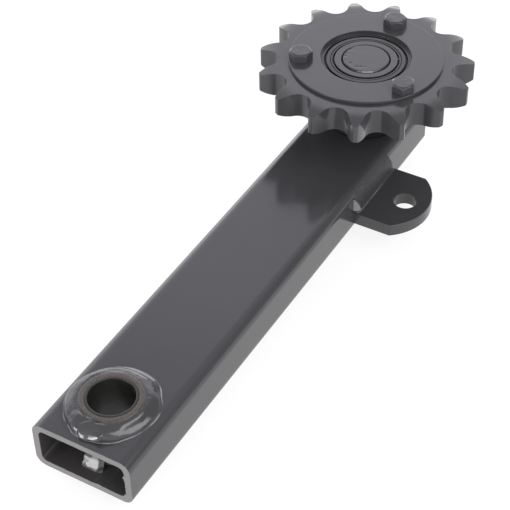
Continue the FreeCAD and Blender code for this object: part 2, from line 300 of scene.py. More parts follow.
def drill(piece, holes, low, high, segments=96):
    """Cuts upright round holes of (x, y, radius) through a piece, from MM below low to MM above high."""
    low, high = low - MM, high + MM
    bm = bmesh.new()
    for x, y, radius in holes:
        bmesh.ops.create_cone(bm, cap_ends=True, cap_tris=False, segments=segments, radius1=radius,
                              radius2=radius, depth=high - low,
                              matrix=Matrix.Translation((x, y, (low + high) / 2)))
    cutter = finish_mesh(bm, "drill")
    cut = piece.modifiers.new("Holes", "BOOLEAN")
    cut.operation, cut.solver, cut.object = "DIFFERENCE", "EXACT", cutter
    drilled = bpy.data.meshes.new_from_object(piece.evaluated_get(bpy.context.evaluated_depsgraph_get()))
    piece.modifiers.clear()
    name, spare = piece.data.name, (piece.data, cutter.data)
    piece.data = drilled
    bpy.data.objects.remove(cutter)
    for mesh in spare:
        bpy.data.meshes.remove(mesh)
    drilled.name = name
    drilled.set_sharp_from_angle(angle=sharp_angle)


def dress(piece, body, node, finish, *materials):
    """Gives a piece its materials and its body, and hides the CAD node that it stands for."""
    for material in materials:
        piece.data.materials.append(material)
    flat = piece.modifiers.new("Flat faces stay flat", "WEIGHTED_NORMAL")
    flat.keep_sharp = True
    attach(piece, body)
    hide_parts(node)


# Materials


class Value:
    """A node's output that can be reckoned with like a number."""

    def __init__(self, nodes, socket):
        self.nodes, self.socket = nodes, socket

    def maths(self, operation, other=0.0):
        return self.nodes.add("Math", "Value", {0: self, 1: other}, operation=operation)

    def __add__(self, other):
        return self.maths("ADD", other)

    def __sub__(self, other):
        return self.maths("SUBTRACT", other)

    def __mul__(self, other):
        return self.maths("MULTIPLY", other)

    def __truediv__(self, other):
        return self.maths("DIVIDE", other)

    def __gt__(self, other):
        return self.maths("GREATER_THAN", other)

    def __lt__(self, other):
        return self.maths("LESS_THAN", other)

    def __abs__(self):
        return self.maths("ABSOLUTE")

    def span(self, low, high, at_low=0.0, at_high=1.0, **how):
        """Carries the range from low to high over to another range."""
        return self.nodes.add("MapRange", "Result", {"Value": self, "From Min": low, "From Max": high,
                                                     "To Min": at_low, "To Max": at_high}, **how)


class Nodes:
    """A node tree under construction."""

    def __init__(self, owner):
        owner.use_nodes = True
        self.tree = owner.node_tree
        self.tree.nodes.clear()

    def add(self, kind, output, inputs=None, **settings):
        """A new node's output. Its inputs are numbers, colours or the outputs of other nodes."""
        node = self.tree.nodes.new("ShaderNode" + kind)
        for name, value in settings.items():
            setattr(node, name, value)
        for name, value in (inputs or {}).items():
            self.feed(node.inputs[name], value)
        return Value(self, node.outputs[output])

    def feed(self, socket, value):
        if isinstance(value, Value):
            self.tree.links.new(value.socket, socket)
        else:
            socket.default_value = value

    def parts(self, vector):
        node = self.add("SeparateXYZ", "X", {"Vector": vector}).socket.node
        return [Value(self, node.outputs[axis]) for axis in "XYZ"]


class Surface(Nodes):
    """A material under construction: one shader and the nodes that feed it."""

    def __init__(self, name):
        self.material = bpy.data.materials.new(name)
        super().__init__(self.material)
        self.shader = self.tree.nodes.new("ShaderNodeBsdfPrincipled")
        self.out = self.tree.nodes.new("ShaderNodeOutputMaterial").inputs["Surface"]
        self.tree.links.new(self.shader.outputs["BSDF"], self.out)
        self.place = self.add("TexCoord", "Object")

    def noise(self, scale, detail=2.0, rough=0.5, stretch=None):
        place = self.add("Mapping", "Vector", {"Scale": stretch, "Vector": self.place}) if stretch \
            else self.place
        return self.add("TexNoise", "Fac", {"Scale": scale, "Detail": detail, "Roughness": rough,
                                            "Vector": place})

    def mix(self, factor, a, b):
        return self.add("Mix", "Result", {"Factor": factor, "A": a, "B": b}, data_type="RGBA")

    def tones(self, factor, colour, low, high):
        """Between a darker and a lighter tone of one colour."""
        return self.mix(factor, rgba(colour, low), rgba(colour, high))

    def bump(self, height, distance, below=None):
        under = {} if below is None else {"Normal": below}
        return self.add("Bump", "Normal", {"Strength": 1.0, "Distance": distance, "Height": height, **under})

    def specks(self, scale, share):
        """Round dust nibs: 1 at their middles, on a share of the cells."""
        away = self.add("TexVoronoi", "Distance", {"Scale": scale, "Vector": self.place})
        red = self.add("SeparateColor", "Red", {"Color": Value(self, away.socket.node.outputs["Color"])})
        return away.span(0.0, 0.07, 1.0, 0.0) * (red > 1.0 - share)

    def shade(self, colour, roughness, normal=None, metallic=0.0, specular=0.5):
        """Feeds the shader and gives the material."""
        for name, value in (("Base Color", colour), ("Roughness", roughness), ("Normal", normal),
                            ("Metallic", metallic), ("IOR", 1.5), ("Specular IOR Level", specular)):
            if value is not None:
                self.feed(self.shader.inputs[name], value)
        return self.material


def rgba(colour, gain=1.0):
    return (colour[0] * gain, colour[1] * gain, colour[2] * gain, 1.0)


def toward(x, y, degrees):
    """How far a place lies in a direction."""
    return x * math.cos(math.radians(degrees)) + y * math.sin(math.radians(degrees))


def distance(x, y):
    """How far a place lies from the upright axis."""
    return (x * x + y * y).maths("SQRT")


def enamelled(name, gain=1.0, roughness=None):
    """A surface with glossy enamel: cloudy tone, orange peel and a little dust under the paint."""
    finish = chosen("finish")
    colour = [c * gain for c in finish.paint]
    roughness = roughness or finish.paint_gloss
    surface = Surface(name)
    dust = surface.specks(130.0, 0.16)
    tone = surface.tones(surface.noise(14.0, 3.0).span(0.3, 0.7), colour, 0.95, 1.06)
    tone = surface.mix(dust * 0.6, tone, rgba(colour, 2.8))
    gloss = surface.noise(34.0, 4.0, 0.6).span(0.25, 0.75, roughness * 0.88, roughness * 1.14)
    waves = surface.bump(surface.noise(120.0, 1.0), 0.00002)
    peel = surface.bump(surface.noise(700.0), 0.0000035, waves)
    return surface, tone, gloss, surface.bump(dust, 0.00004, peel)


def paint():
    """The plain enamel, made the first time that it is asked for."""
    name = "grey_enamel"
    if name not in bpy.data.materials:
        surface, *coat = enamelled(name)
        surface.shade(*coat)
    return bpy.data.materials[name]


def worn_and_glint_material():
    """Enamel on a rounded edge, light in patches: thin paint on the edges, and painted highlights along them.
    """
    surface, tone, gloss, normal = enamelled("worn_and_glint_enamel")
    wear_and_glint = surface.noise(170.0, 4.0, 0.65).span(0.50, 0.60)
    tone = surface.mix(wear_and_glint * 0.45, tone, rgba(chosen("finish").wear_and_glint))
    return surface.shade(tone, gloss + wear_and_glint * 0.10, normal)


def fastener_material():
    """Enamel with thick drops on the bolt heads."""
    surface, tone, gloss, normal = enamelled("fastener_enamel")
    return surface.shade(tone, gloss, surface.bump(surface.noise(330.0, 1.0).span(0.45, 0.75), 0.00009,
                                                   normal))


def bearing_material(name, gaps, gain=1.0, glint_radius=None):
    """Enamel on the rings' faces, with painted shade, near black, down in the gaps, given as radii and a
    top height.

    The last argument is a radius: a painted highlight lies in patches on the near side of the axle's top
    edge there.
    """
    surface, tone, gloss, normal = enamelled(name, gain)
    x, y, z = surface.parts(surface.place)
    across = x - axle_at.x
    radius = distance(across, y)
    # Painted highlight: a light patchy band on the near side of the axle's top edge.
    if glint_radius is not None:
        near = toward(across, y, -154).span(glint_radius - 1.0 * MM, glint_radius - 0.4 * MM)
        edge = near * (radius > glint_radius - 0.3 * MM) * (z > axle_high.z - 0.9 * MM)
        patchy = surface.noise(260.0).span(0.38, 0.52, 0.2, 1.0)
        tone = surface.mix(edge * patchy, tone, rgba(chosen("finish").wear_and_glint, 1.7))
    # Painted shade: each gap goes near black below its top height.
    for low, high, top in gaps:
        gap_shade = (radius > low) * (radius < high) * z.span(top - 0.25 * MM, top, 1.0, 0.0)
        tone = surface.mix(gap_shade, tone, (0.004, 0.004, 0.004, 1.0))
        gloss = gloss + gap_shade * 0.45
    return surface.shade(tone, gloss, normal, specular=0.5 * gain)


def cut_end_material():
    """A saw cut under a thin coat: fine marks across the wall."""
    surface = Surface("cut_end")
    saw = surface.noise(260.0, 3.0, 0.6, (1.0, 0.35, 5.0))
    grain = surface.noise(1500.0)
    return surface.shade(surface.tones(saw.span(0.3, 0.7), chosen("finish").cut_steel, 0.9, 1.1),
                         grain.span(0.3, 0.7, 0.42, 0.58),
                         surface.bump(saw, 0.00005, surface.bump(grain, 0.00002)))


def boss_material(name, edge):
    """Enamel that leaves the boss's end face bare, brown and speckled, inside a ragged edge."""
    finish = chosen("finish")
    surface, tone, gloss, normal = enamelled(name)
    ragged = surface.noise(420.0, 4.0, 0.7).span(0.25, 0.75, -1.6 * MM, 1.6 * MM)
    x, y, z = surface.parts(surface.place)
    inside = (distance(x, y) + ragged).span(edge - 1.4 * MM, edge + 0.4 * MM, 1.0, 0.0)
    bare = inside * abs(z).span(boss_high.z - 1.6 * MM, boss_high.z - 0.9 * MM)
    specks = surface.noise(1500.0, 3.0, 0.7)
    tone = surface.mix(bare, tone, surface.tones(specks.span(0.40, 0.60), finish.bare_steel, 0.5, 1.55))
    toe = z.span(tube_high.z + 0.08 * MM, tube_high.z + 0.3 * MM, 1.0, 0.0)
    patchy = surface.noise(90.0).span(0.42, 0.60, 0.0, 0.7)
    tone = surface.mix(toe * patchy, tone, rgba(finish.wear_and_glint, 1.6))
    return surface.shade(tone, gloss + bare * 0.30, surface.bump(specks * bare, 0.00005, normal))


def bead_material(toe):
    """Dull enamel with long fine scratches, and a light line along the toe at the given height."""
    surface, tone, gloss, normal = enamelled("bead_enamel")
    scratch = surface.noise(1.0, stretch=(110.0, 1500.0, 1500.0)).span(0.66, 0.74)
    patchy = surface.noise(75.0).span(0.40, 0.58)
    _, _, z = surface.parts(surface.place)
    line = z.span(toe + 0.1 * MM, toe + 0.4 * MM, 0.8, 0.0) * patchy
    light = (scratch * patchy).maths("MAXIMUM", line)
    tone = surface.mix(light * 0.8, tone, rgba(chosen("finish").wear_and_glint, 0.9))
    return surface.shade(tone, gloss + 0.25, normal, specular=0.22)


def lit_mouth_material(across, high):
    """Enamel 2.3 times lighter as painted light from the low lamp that shines into the mouth, with a painted
    highlight on the lump's ragged flat face. across and high are the face's middle.
    """
    surface, tone, gloss, normal = enamelled("lit_mouth_enamel", 2.3, 0.26)
    _, y, z = surface.parts(surface.place)
    rise = z - high
    aside = abs(y - across + rise * 0.45)
    away = (aside / (4.3 * MM)).maths("MAXIMUM", abs(rise) / (2.7 * MM))
    ragged = surface.noise(330.0, 2.0, 0.6).span(0.3, 0.7, -0.38, 0.38)
    # Painted highlight: the ragged flat face goes nearly white.
    bare = (away + ragged).span(0.82, 0.94, 1.0, 0.0)
    fine = surface.noise(1500.0)
    glint_tone = surface.tones(fine, chosen("finish").wear_and_glint, 1.5, 1.9)
    return surface.shade(surface.mix(bare, tone, glint_tone), gloss + bare * 0.25,
                         surface.bump(fine * bare, 0.00003, normal))


def inside_material(seam_and_glint):
    """Thin dusty paint, with a faint weld bead at the given height of the tube's plain side: a bump, and
    a lighter tone along it that is a painted highlight of the inner corner.
    """
    colour = chosen("finish").inside
    surface = Surface("dusty_inside")
    fine = surface.noise(900.0, 3.0)
    _, y, z = surface.parts(surface.place)
    # Painted highlight along the inner corner, over the weld bead's bump.
    line = abs(z - seam_and_glint).span(0.15 * MM, 0.5 * MM, 1.0, 0.0) * (y > 0.0)
    tone = surface.mix(line * 0.8, surface.tones(surface.noise(70.0, 3.0), colour, 0.88, 1.1),
                       rgba(colour, 2.2))
    return surface.shade(tone, fine.span(0.3, 0.7, 0.36, 0.48), surface.bump(fine * 0.1 + line, 0.0002))


def oiled_material():
    """Dark oiled bore with turning marks."""
    surface = Surface("oiled_bush")
    marks = surface.noise(900.0, stretch=(0.2, 0.2, 1.6))
    cloud = surface.noise(80.0, 3.0).span(0.3, 0.7)
    return surface.shade(surface.tones(cloud, chosen("finish").bush, 0.7, 1.3),
                         marks.span(0.3, 0.7, 0.26, 0.42), surface.bump(marks, 0.000006))


def steel_material(name, colour, roughness):
    surface = Surface(name)
    fine = surface.noise(1200.0)
    return surface.shade(surface.tones(surface.noise(60.0), colour, 0.93, 1.05),
                         fine.span(0.3, 0.7, roughness * 0.8, roughness * 1.2),
                         surface.bump(fine, 0.000002), metallic=1.0)


def moulded_material(name, colour, roughness, gain=1.0, specular=0.5):
    surface = Surface(name)
    fine = surface.noise(900.0, 3.0)
    return surface.shade(surface.tones(surface.noise(70.0, 3.0), [c * gain for c in colour], 0.88, 1.1),
                         fine.span(0.3, 0.7, roughness * 0.85, roughness * 1.15),
                         surface.bump(fine, 0.00002), specular=specular)


# The arm


def rounded_loop(bm, half_wide, half_high, corner):
    """The edges of a rounded rectangle across the tube's near end."""
    signs = ((1, 1), (-1, 1), (-1, -1), (1, -1))
    verts, _ = chain(bm, [(tube_low.x, y * half_wide, z * half_high) for y, z in signs])
    bm.faces.new(verts)
    soften(bm, verts, corner, 10, "VERTICES")
    face = next(f for f in bm.faces if f.is_valid and len(f.verts) > 8)
    bmesh.ops.subdivide_edges(bm, edges=[e for e in face.edges if e.calc_length() > 2 * corner], cuts=24)
    loop = list(face.edges)
    bmesh.ops.delete(bm, geom=[face], context="FACES_ONLY")
    return loop


def make_arm_tube(sizes):
    """The tube with uneven saw-cut ends, burrs inside the near one, and holes for boss and axle."""
    bm = bmesh.new()
    half_wide, half_high, wall = tube_high.y, tube_high.z, sizes.tube_wall
    outside = rounded_loop(bm, half_wide, half_high, sizes.tube_corner)
    inside = rounded_loop(bm, half_wide - wall, half_high - wall, sizes.tube_inner_corner)
    section = bmesh.ops.bridge_loops(bm, edges=outside + inside)["faces"]
    thicken(bm, section, (tube_high.x - tube_low.x, 0, 0))
    for end, turn in ((tube_low.x, 1), (tube_high.x, -1)):
        for v in [v for v in bm.verts if abs(v.co.x - end) < 1e-6]:
            v.co.x += turn * 0.12 * MM * (1 + noise.noise(v.co * 260))
            on_lip = abs(v.co.y) < half_wide - wall / 2 and abs(v.co.z) < half_high - MM
            if on_lip and turn > 0 and v.co.y < -6 * MM:
                burr = smoothstep(0.15, 0.5, noise.noise(v.co * 210 + Vector((3.1, 0, 0))))
                v.co.y *= 1 - 0.02 * burr
                v.co.z *= 1 - 0.04 * burr
    rims = [e for e in sharp_edges(bm, 1.2) if abs(e.verts[0].co.x - e.verts[1].co.x) < MM]
    soften(bm, rims, 0.35 * MM, 2)
    tube = finish_mesh(bm, "arm_tube_painted")
    holes = [(0, 0, sizes.boss_radius), (axle_at.x, 0, axle_radius)]
    drill(tube, holes, 2 * tube_low.z + MM, 2 * tube_high.z - MM)
    for face in tube.data.polygons:
        at_end = min(abs(face.center.x - tube_low.x), abs(face.center.x - tube_high.x)) < MM
        inward = abs(face.center.y) < half_wide - 0.8 * wall and abs(face.center.z) < half_high - 0.8 * wall
        face.material_index = 1 if at_end and abs(face.normal.x) > 0.55 else 2 if inward else 0
    return tube


def make_pivot_boss(sizes):
    top, inner, outer = boss_high.z, sizes.bush_radius, sizes.boss_radius
    bm = spin_outline([(inner, top), (inner + 1.6 * MM, top), (outer, top), (outer, -top),
                       (inner + 1.6 * MM, -top), (inner, -top)], 128)
    soften_rings(bm, 3, (top, -top), (inner, 0.5 * MM))
    soften_rings(bm, 5, (top, -top), (outer, 1.1 * MM))
    return finish_mesh(bm, "pivot_boss_turned")


def make_pivot_bush(sizes):
    top, bore, outer = boss_high.z, sizes.bore_radius, sizes.bush_radius
    bm = spin_outline([(bore, top), (outer, top), (outer, -top), (bore, -top)], 128)
    soften_rings(bm, 3, (top, -top), (bore, 0.45 * MM))
    soften_rings(bm, 2, (top, -top), (outer, 0.3 * MM))
    return finish_mesh(bm, "pivot_bush_turned")


# Weld beads. A section is a list of distances out and heights, from the toe on the plate to the top.

toe_blend = 0.7 * MM


def in_mm(points):
    return [(out * MM, up * MM) for out, up in points]


def bead_section(up, out, points, flatten):
    """A crowned section with a soft toe. flatten takes some of the crown away."""
    section = [(out + toe_blend * (1 - t), up * 0.03 * t * t) for t in (0.0, 0.3, 0.55, 0.75, 0.9)]
    for i in range(points + 1):
        a = (0.025 + 0.975 * i / points) * math.pi / 2
        bulge = 1 - flatten * math.sin(2 * a)
        section.append((out * math.cos(a) * bulge, up * math.sin(a) * bulge))
    return section


def section_guide(section):
    """For each point of a section: the point, its share of the way up, and the way out of the bead."""
    lengths = [0.0]
    for (a, b), (c, d) in zip(section, section[1:]):
        lengths.append(lengths[-1] + math.hypot(c - a, d - b))
    guide = []
    for i, point in enumerate(section):
        before = section[max(0, i - 1)]
        after = section[min(len(section) - 1, i + 1)]
        way = Vector((after[1] - before[1], before[0] - after[0])).normalized()
        guide.append((Vector(point), lengths[i] / lengths[-1], way))
    return guide


def on_guide(guide, out, up):
    """The guide's entry for a vertex, or None for the hidden back of a bead."""
    here = Vector((out, up))
    point, share, way = min(guide, key=lambda entry: (entry[0] - here).length_squared)
    return (share, way) if (point - here).length < 1e-6 else None


def lay(bm, level, turn):
    """Sets a bead on its plate, upside down where turn is -1."""
    place = Matrix.Translation((0, 0, level)) @ Matrix.Scale(turn, 4, upright)
    bmesh.ops.transform(bm, matrix=place, verts=bm.verts)
    face_outward(bm)
    return bm


def ring_weld(radius, section, level, turn, steps, change, angle=math.tau, start=0.0, widen=None):
    """A bead round an upright part. change(angle, share) moves its face out, widen its toe sideways."""
    back = weld_root
    outline = [(radius + out, up) for out, up in section]
    outline += [(radius - back, section[-1][1]), (radius - back, -back), (radius + section[0][0], -back)]
    bm = spin_outline(outline, steps, angle, start)
    guide = section_guide(section)
    for v in bm.verts:
        r = radius_of(v)
        entry = on_guide(guide, r - radius, v.co.z)
        if entry is not None:
            share, way = entry
            turned = math.atan2(v.co.y, v.co.x)
            moved = change(turned, share)
            sideways = widen(turned, share) if widen else 0.0
            scale = (r + moved * way[0] + sideways) / r
            v.co = (v.co.x * scale, v.co.y * scale, v.co.z + moved * way[1])
    return lay(bm, level, turn)


def around(angle, degrees):
    """The turn from a direction in degrees to an angle, between minus and plus half a circle."""
    return (angle - math.radians(degrees) + math.pi) % math.tau - math.pi


def on_circle(angle, size, height):
    return Vector((size * math.cos(angle), size * math.sin(angle), height))


def hold_ends(share):
    """No movement at the toe and at the top of a bead, full movement between."""
    return smoothstep(0.0, 0.22, share) * (1 - smoothstep(0.84, 1.0, share))


def uneven(angle, share, seed, size):
    """Broad swells and faint ripples of a hand-laid bead."""
    swell = noise.noise(on_circle(angle, 2.4, share * 1.7 + seed))
    ripple = noise.noise(on_circle(angle, 8, share * 3.5 + seed + 7))
    return size * hold_ends(share) * (0.6 * swell + 0.16 * ripple)


def window(angle, middle, full, fade):
    """1 within full degrees of the middle, 0 beyond fade degrees."""
    return 1 - smoothstep(math.radians(full), math.radians(fade), abs(around(angle, middle)))


def boss_bead(angle, share):
    """The visible bead: an oval crater where it ends, and a plain slope on the lug's side."""
    slope = window(angle, -98, 22, 52)
    moved = uneven(angle, share, 3.0, (0.8 - 0.5 * slope) * MM)
    wander = 0.10 * noise.noise(Vector((share * 4, angle * 5, 1.5)))
    lap = around(angle, -172) / math.radians(20) + wander
    rise = (share - 0.48) / 0.47 + wander
    oval = math.hypot(lap, rise)
    merged = smoothstep(-0.2, 0.9, lap)
    crater = 1 - smoothstep(0.86 - 0.55 * merged, 1.03 + 0.35 * merged, oval)
    moved += 1.2 * MM * crater * (0.45 + 0.55 * min(1.0, oval) ** 2)
    moved += 0.9 * MM * window(angle, 157, 0, 14) * hold_ends(share)
    flat = 1 / math.cos(around(angle, -178)) - 1
    low = smoothstep(0.08, 0.16, share) * (1 - smoothstep(0.36, 0.5, share))
    moved += 24 * MM * flat * window(angle, -171, 8, 15) * low
    return moved - 1.35 * MM * slope * math.sin(math.pi * share) ** 2


def boss_bead_widen(angle, share):
    """The toe reaches further at the crater and in a thin skirt on the far side."""
    low = 1 - smoothstep(0.05, 0.17, share)
    skirt = 2.1 * MM * window(angle, 2, 22, 55) * low
    lap = 1.0 * MM * window(angle, 172, 4, 20) * (1 - smoothstep(0.3, 0.8, share))
    narrow = -1.3 * MM * window(angle, -112, 10, 45) * (1 - share)
    return skirt + lap + narrow + 0.35 * MM * noise.noise(on_circle(angle, 3.5, 5.0)) * low


def make_boss_welds(sizes):
    up, out, radius = sizes.boss_weld_up, sizes.boss_weld_out, sizes.boss_radius
    top = ring_weld(radius, bead_section(up, out, 30, 0.02), tube_high.z, 1, 420, boss_bead,
                    widen=boss_bead_widen)
    bottom = ring_weld(radius, bead_section(up, out, 16, 0.06), tube_low.z, -1, 240,
                       lambda a, s: uneven(a, s, 11.0, 1.2 * MM))
    return finish_mesh(top, "boss_weld_top_bead"), finish_mesh(bottom, "boss_weld_bottom_bead")


mouth_middle = -181.5
mouth_half_angle = 17
mouth_section = [(6.1, 0.0), (6.3, 0.5), (6.4, 1.1), (6.35, 1.7), (6.15, 2.3), (5.85, 2.9), (5.55, 3.5),
                 (5.25, 4.1), (4.95, 4.7), (4.65, 5.3), (4.35, 5.9), (4.0, 6.5), (3.4, 7.0), (2.5, 7.4),
                 (1.3, 7.6), (0.0, 7.7)]
mouth_face = (-2.3 * MM, -6.2 * MM)


def mouth_bead(angle, share):
    """One flat face in the middle, and a ragged edge that falls away all round."""
    off = around(angle, mouth_middle)
    turn = off / math.radians(mouth_half_angle)
    flat = 22 * MM * (1 / math.cos(off) - 1)
    ragged = noise.noise(Vector((turn * 2.6 + 4.0, share * 4.0, 0.7)))
    fine = noise.noise(Vector((turn * 7.0, share * 9.0, 8.2)))
    fall = smoothstep(0.62, 1.0, abs(turn) + 0.16 * ragged)
    edge = max(fall, 1 - smoothstep(0.0, 0.35, share + 0.1 * ragged))
    rough = (1.0 * ragged + 0.7 * fine) * edge + 0.03 * fine
    return flat + rough * MM * smoothstep(0.0, 0.12, share) - 3.6 * MM * fall


def make_mouth_weld(sizes):
    """A lumpy short bead between the boss and the tube's floor, in the open end."""
    bm = ring_weld(sizes.boss_radius, in_mm(mouth_section), tube_low.z + sizes.tube_wall, 1, 64, mouth_bead,
                   math.radians(2 * mouth_half_angle), math.radians(mouth_middle - mouth_half_angle))
    return finish_mesh(bm, "boss_weld_mouth_bead")


lug_section = [(3.9, 0.0), (3.5, 0.08), (3.25, 0.35), (3.1, 0.9), (2.95, 1.9), (2.75, 3.1), (2.5, 4.3),
               (2.2, 5.5), (1.85, 6.7), (1.45, 7.8), (1.0, 8.9), (0.5, 10.0), (-0.1, 11.0), (-0.75, 11.9),
               (-1.5, 12.75), (-2.4, 13.45), (-3.2, 13.75)]
lump_outline = [(-0.9, 9.5), (0.6, 9.3), (1.7, 8.6), (2.7, 7.7), (3.9, 6.3), (4.8, 5.0), (4.9, 4.1),
                (4.2, 2.9), (3.1, 1.9), (1.9, 1.3), (0.6, 1.0), (-0.9, 1.2)]


def weld_lump(side, x):
    """The rough chipped lump at the near end of the bead above the lug."""
    bm = bmesh.new()
    verts, edges = chain(bm, [(x, -(side + out), up) for out, up in in_mm(lump_outline)])
    for step, size in ((0.8 * MM, 1.0), (1.2 * MM, 0.82), (1.8 * MM, 0.55), (2.4 * MM, 0.3)):
        verts, edges = extrude_along_x(bm, edges, step)
        middle = sum((v.co for v in verts), Vector()) / len(verts)
        for v in verts:
            v.co.y = middle.y + (v.co.y - middle.y) * size + (1 - size) * 0.9 * MM
            v.co.z = middle.z + (v.co.z - middle.z) * size - (1 - size) * 0.5 * MM
    close_holes(bm)
    face_outward(bm)
    front = next(f for f in bm.faces if f.normal.x < -0.9 and f.calc_center_median().x < x + 0.1 * MM)
    front.material_index = 1
    for v in front.verts:
        v.co.x += 0.35 * MM * (1 + noise.noise(v.co * 300))
    bmesh.ops.poke(bm, faces=[front], offset=-0.25 * MM)
    for face in soften(bm, sharp_edges(bm, 1.0), 0.35 * MM, 2):
        face.material_index = 1
    return bm


def straight_weld(section, low_x, high_x, level, turn, side, seed, slant=0.0):
    """A bead along X between the tube's side and the lug, a little smaller at its ends.

    slant is how far its top stops short of its foot at the far end.
    """
    back, root, steps = side - 3.5 * MM, -weld_root, 120
    outline = [(side + out, up) for out, up in section]
    outline += [(back, section[-1][1]), (back, root), (side + section[0][0], root)]
    bm = bmesh.new()
    _, edges = chain(bm, [(low_x, -y, z) for y, z in outline])
    for _ in range(steps):
        _, edges = extrude_along_x(bm, edges, (high_x - low_x) / steps)
    close_holes(bm)
    for v in bm.verts:
        v.co.x -= slant * v.co.z / section[-1][1] * (1 - smoothstep(0, 14 * MM, high_x - v.co.x))
    guide = section_guide(section)
    for v in bm.verts:
        entry = on_guide(guide, -v.co.y - side, v.co.z)
        if entry is None:
            continue
        share, way = entry
        near, far = v.co.x - low_x, high_x - v.co.x
        swell = noise.noise(Vector((near * 60, share * 1.5, seed)))
        streak = noise.noise(Vector((near * 170, share * 15, seed + 4)))
        fine = noise.noise(Vector((near * 420, share * 9, seed + 9)))
        moved = MM * hold_ends(share) * (0.22 * swell + 0.12 * streak + 0.06 * fine)
        shrink = 0.72 + 0.28 * smoothstep(0, 2.4 * MM, far) * smoothstep(0, 2.4 * MM, near)
        out = (-v.co.y - side) * (shrink if v.co.y < -side else 1.0)
        v.co.y = -(side + out + moved * way[0])
        v.co.z = v.co.z * shrink + moved * way[1]
    return lay(bm, level, turn)


def make_lug_welds(sizes):
    side, under, inset = -tube_low.y, sizes.lug_under_weld, sizes.lug_weld_inset
    above = straight_weld(in_mm(lug_section), lug_low.x + 0.9 * MM, lug_high.x, lug_high.z, 1, side, 2.0,
                          4.5 * MM)
    merge_in(above, weld_lump(side, lug_low.x + 0.3 * MM), Matrix.Translation((0, 0, lug_high.z)))
    below = straight_weld(bead_section(under, under, 14, 0.1), lug_low.x + inset, lug_high.x - inset,
                          lug_low.z, -1, side, 6.0)
    return finish_mesh(above, "lug_weld_top_bead"), finish_mesh(below, "lug_weld_bottom_bead")


def make_spring_lug(sizes):
    """A flame-cut plate: square root, straight sides and a round end, a hair inside the solid's."""
    end, hair = sizes.lug_end_radius, 0.002 * MM
    middle = Vector(((lug_low.x + lug_high.x) / 2, lug_low.y + end + hair, lug_low.z))
    half = (lug_high.x - lug_low.x) / 2
    bm = bmesh.new()
    corner = bm.verts.new((middle.x - half, middle.y - math.sqrt(end ** 2 - half ** 2), middle.z))
    sweep(bm, [corner], 2 * math.asin(half / end), 48, middle)
    arc_ends = [v for v in bm.verts if len(v.link_edges) == 1]
    root_y = tube_low.y + sizes.tube_wall / 2
    roots = [bm.verts.new((v.co.x, root_y, middle.z)) for v in arc_ends]
    for pair in [*zip(arc_ends, roots), roots]:
        bm.edges.new(pair)
    face = bmesh.ops.contextual_create(bm, geom=bm.edges)["faces"]
    thicken(bm, face, (0, 0, lug_high.z - lug_low.z))
    plate = finish_mesh(bm, "spring_lug_plate")
    hole_y = lug_low.y + sizes.lug_hole_from_tip
    drill(plate, [(middle.x, hole_y, sizes.lug_hole)], lug_low.z, lug_high.z)
    bm = bmesh.new()
    bm.from_mesh(plate.data)
    bmesh.ops.remove_doubles(bm, verts=bm.verts, dist=1e-7)
    rims = [e for e in sharp_edges(bm, 1.2) if abs(e.verts[0].co.z - e.verts[1].co.z) < 1e-6
            and max(v.co.y for v in e.verts) < root_y - MM]
    hole_rims = [e for e in rims if all(abs(math.hypot(v.co.x - middle.x, v.co.y - hole_y) - sizes.lug_hole)
                                        < 1e-5 for v in e.verts)]
    soften(bm, [e for e in rims if e not in hole_rims], 0.4 * MM)
    soften(bm, [e for e in hole_rims if e.is_valid], 0.15 * MM, 2)
    fill_mesh(bm, plate.data)
    return plate


# The axle, the sprocket and what holds them


end_dents = ((4.3, 12.6, 0.9), (-1.1, 13.3, 0.7), (-3.7, 12.5, 0.8), (-9.3, 6.2, 0.8), (-10.6, 0.9, 0.6),
             (-9.7, -1.3, 0.8), (-8.4, -3.2, 0.6))


def make_sprocket_axle(wheel):
    """The stub, with the punch dents near the rim of its end face."""
    journal, body, top, foot = wheel.journal_radius, axle_radius, axle_high.z, axle_low.z
    neck, lead, chamfer = journal - 0.8 * MM, 0.4 * MM, 1.5 * MM
    face = [(i * 0.5 * MM, top) for i in range(28)]
    bm = spin_outline(face + [(neck - lead, top), (neck, top - lead), (journal, top - 2.0 * MM),
                              (journal, wheel_low.z), (body, wheel_low.z), (body, foot + chamfer),
                              (body - chamfer, foot), (0.0, foot)], 144)
    for radius, z, width in ((neck - lead, top, 0.35 * MM), (neck, top - lead, 0.2 * MM),
                             (body, foot + chamfer, 0.3 * MM), (body - chamfer, foot, 0.3 * MM)):
        soften_rings(bm, 3, (z,), (radius, width))
    for v in bm.verts:
        if v.co.z > top - 1e-5:
            drop = 0.03 * (1 + noise.noise(v.co * 240))
            for x, y, size in end_dents:
                away = math.hypot(v.co.x - x * MM, v.co.y - y * MM) / (size * MM)
                drop += 0.50 * math.exp(-2.2 * away * away)
            v.co.z -= drop * MM
    return finish_mesh(bm, "sprocket_axle_turned", axle_at)


def make_axle_weld(name, leg, points, level, turn, seed, size):
    bead = ring_weld(axle_radius, bead_section(leg, leg, points, 0.08), level, turn, 200,
                     lambda a, s: uneven(a, s, seed, size))
    return finish_mesh(bead, name, axle_at)


